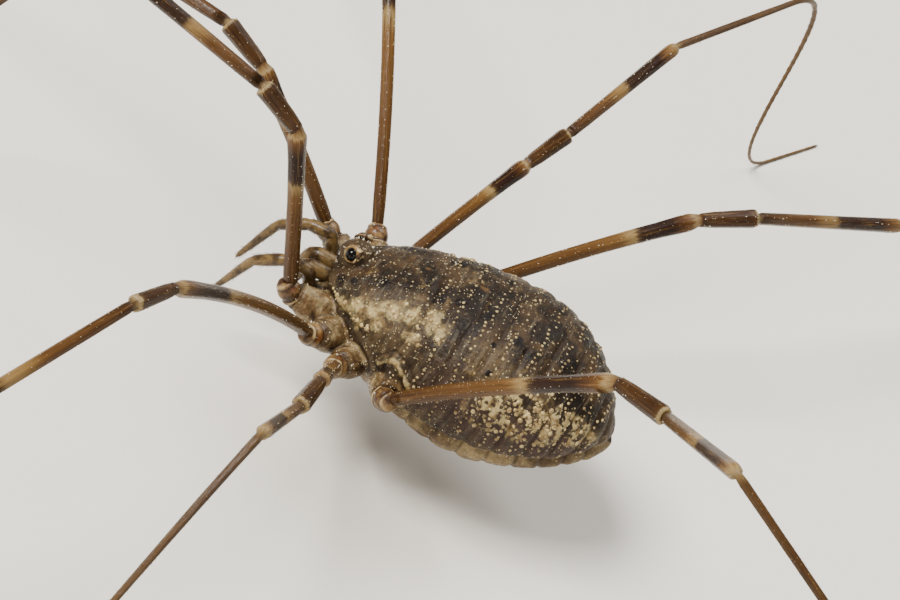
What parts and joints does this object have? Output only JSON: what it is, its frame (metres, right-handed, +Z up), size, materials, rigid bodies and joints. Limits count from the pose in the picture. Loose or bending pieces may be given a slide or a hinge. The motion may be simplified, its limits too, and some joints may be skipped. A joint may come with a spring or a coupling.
{
  "type": "harvestman",
  "caption": "Female harvestman, a long-legged arachnid, standing still with its plump oval body low between its bent legs.",
  "frame": {"origin": "on the floor, under the centre of the box around the whole animal", "axes": "+Z up from the floor, head toward -Y, the animal's left side toward +X"},
  "size_m": [0.0714, 0.0546, 0.0145],
  "materials": {
    "back": "semi-gloss dark brown cuticle with a darker saddle, cream tubercles and pale flank blotches",
    "carapace": "semi-gloss grey-brown cuticle, slightly translucent at the coxae, with pale specks",
    "eye": "glossy black lens in a golden-cream ring",
    "mouthparts": "semi-gloss pale beige-brown",
    "trochanter": "semi-gloss pale brown with orange-brown spots",
    "femur": "semi-gloss brown with a pale ring, a dark ring and a pale tip",
    "patella": "semi-gloss dark brown with a pale far end",
    "tibia": "semi-gloss brown, paler in the middle, with a dark ring and a pale tip",
    "metatarsus": "thin brown cuticle",
    "tarsus": "thin brown cuticle in many short rings"
  },
  "bodies": {
    "root": {"prosoma": "carapace", "opisthosoma": "back", "ocularium": "carapace", "eye_left": "eye", "eye_right": "eye", "chelicera_left": "mouthparts", "chelicera_right": "mouthparts", "palp_upper_left": "mouthparts", "palp_upper_right": "mouthparts", "palp_lower_left": "mouthparts", "palp_lower_right": "mouthparts", "leg1_trochanter_left": "trochanter", "leg1_femur_left": "femur", "leg1_patella_left": "patella", "leg1_tibia_left": "tibia", "leg1_metatarsus_left": "metatarsus", "leg1_tarsus_left": "tarsus", "leg2_trochanter_left": "trochanter", "leg2_femur_left": "femur", "leg2_patella_left": "patella", "leg2_tibia_left": "tibia", "leg2_metatarsus_left": "metatarsus", "leg2_tarsus_left": "tarsus", "leg3_trochanter_left": "trochanter", "leg3_femur_left": "femur", "leg3_patella_left": "patella", "leg3_tibia_left": "tibia", "leg3_metatarsus_left": "metatarsus", "leg3_tarsus_left": "tarsus", "leg4_trochanter_left": "trochanter", "leg4_femur_left": "femur", "leg4_patella_left": "patella", "leg4_tibia_left": "tibia", "leg4_metatarsus_left": "metatarsus", "leg4_tarsus_left": "tarsus", "leg1_trochanter_right": "trochanter", "leg1_femur_right": "femur", "leg1_patella_right": "patella", "leg1_tibia_right": "tibia", "leg1_metatarsus_right": "metatarsus", "leg1_tarsus_right": "tarsus", "leg2_trochanter_right": "trochanter", "leg2_femur_right": "femur", "leg2_patella_right": "patella", "leg2_tibia_right": "tibia", "leg2_metatarsus_right": "metatarsus", "leg2_tarsus_right": "tarsus", "leg3_trochanter_right": "trochanter", "leg3_femur_right": "femur", "leg3_patella_right": "patella", "leg3_tibia_right": "tibia", "leg3_metatarsus_right": "metatarsus", "leg3_tarsus_right": "tarsus", "leg4_trochanter_right": "trochanter", "leg4_femur_right": "femur", "leg4_patella_right": "patella", "leg4_tibia_right": "tibia", "leg4_metatarsus_right": "metatarsus", "leg4_tarsus_right": "tarsus"}
  },
  "joints": []
}
